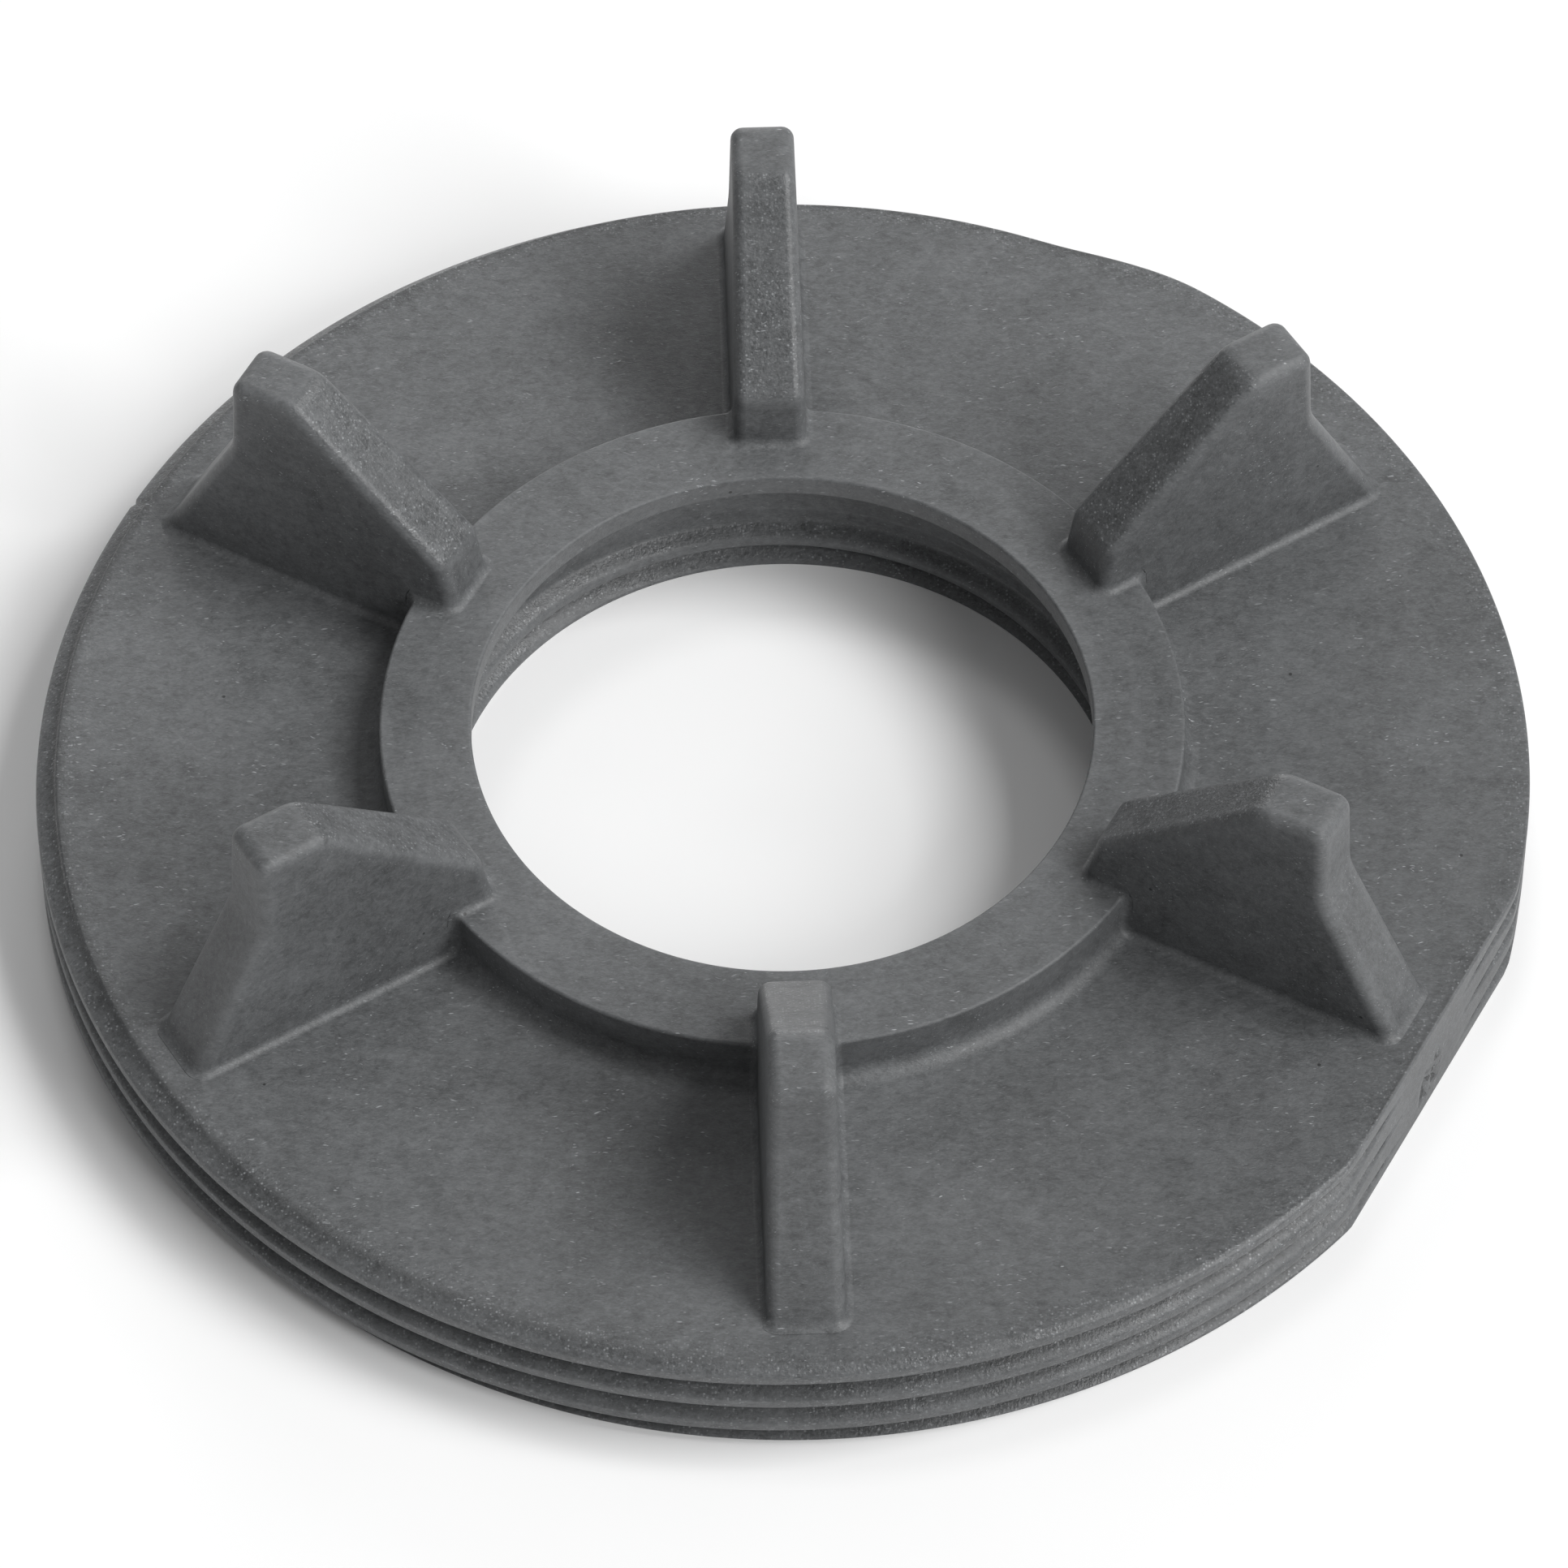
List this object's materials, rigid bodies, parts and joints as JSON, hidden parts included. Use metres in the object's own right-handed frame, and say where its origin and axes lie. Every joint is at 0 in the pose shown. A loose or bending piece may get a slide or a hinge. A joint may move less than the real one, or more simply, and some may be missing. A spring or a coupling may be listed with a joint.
{
  "type": "toilet flange",
  "caption": "Round threaded plastic flange ring with a raised hub collar, an internally threaded bore, an externally threaded rim and radial wrench lugs.",
  "frame": {"origin": "centre of the bore at the underside of the rim", "axes": "+Z along the bore axis towards the wrench lugs, -Y through wrench_lug_1; the flat on the rim is at 330 degrees from +X"},
  "size_m": [0.1142, 0.1142, 0.0297],
  "materials": {
    "glass_filled_plastic": "matte"
  },
  "bodies": {
    "root": {"bore_lip": "glass_filled_plastic", "hub_collar": "glass_filled_plastic", "bore_thread": "glass_filled_plastic", "web_disc": "glass_filled_plastic", "rim_thread": "glass_filled_plastic", "wrench_lug_1": "glass_filled_plastic", "wrench_lug_2": "glass_filled_plastic", "wrench_lug_3": "glass_filled_plastic", "wrench_lug_4": "glass_filled_plastic", "wrench_lug_5": "glass_filled_plastic", "wrench_lug_6": "glass_filled_plastic", "under_rib_1": "glass_filled_plastic", "under_rib_2": "glass_filled_plastic", "under_rib_3": "glass_filled_plastic", "under_rib_4": "glass_filled_plastic", "under_rib_5": "glass_filled_plastic", "under_rib_6": "glass_filled_plastic"}
  },
  "joints": []
}
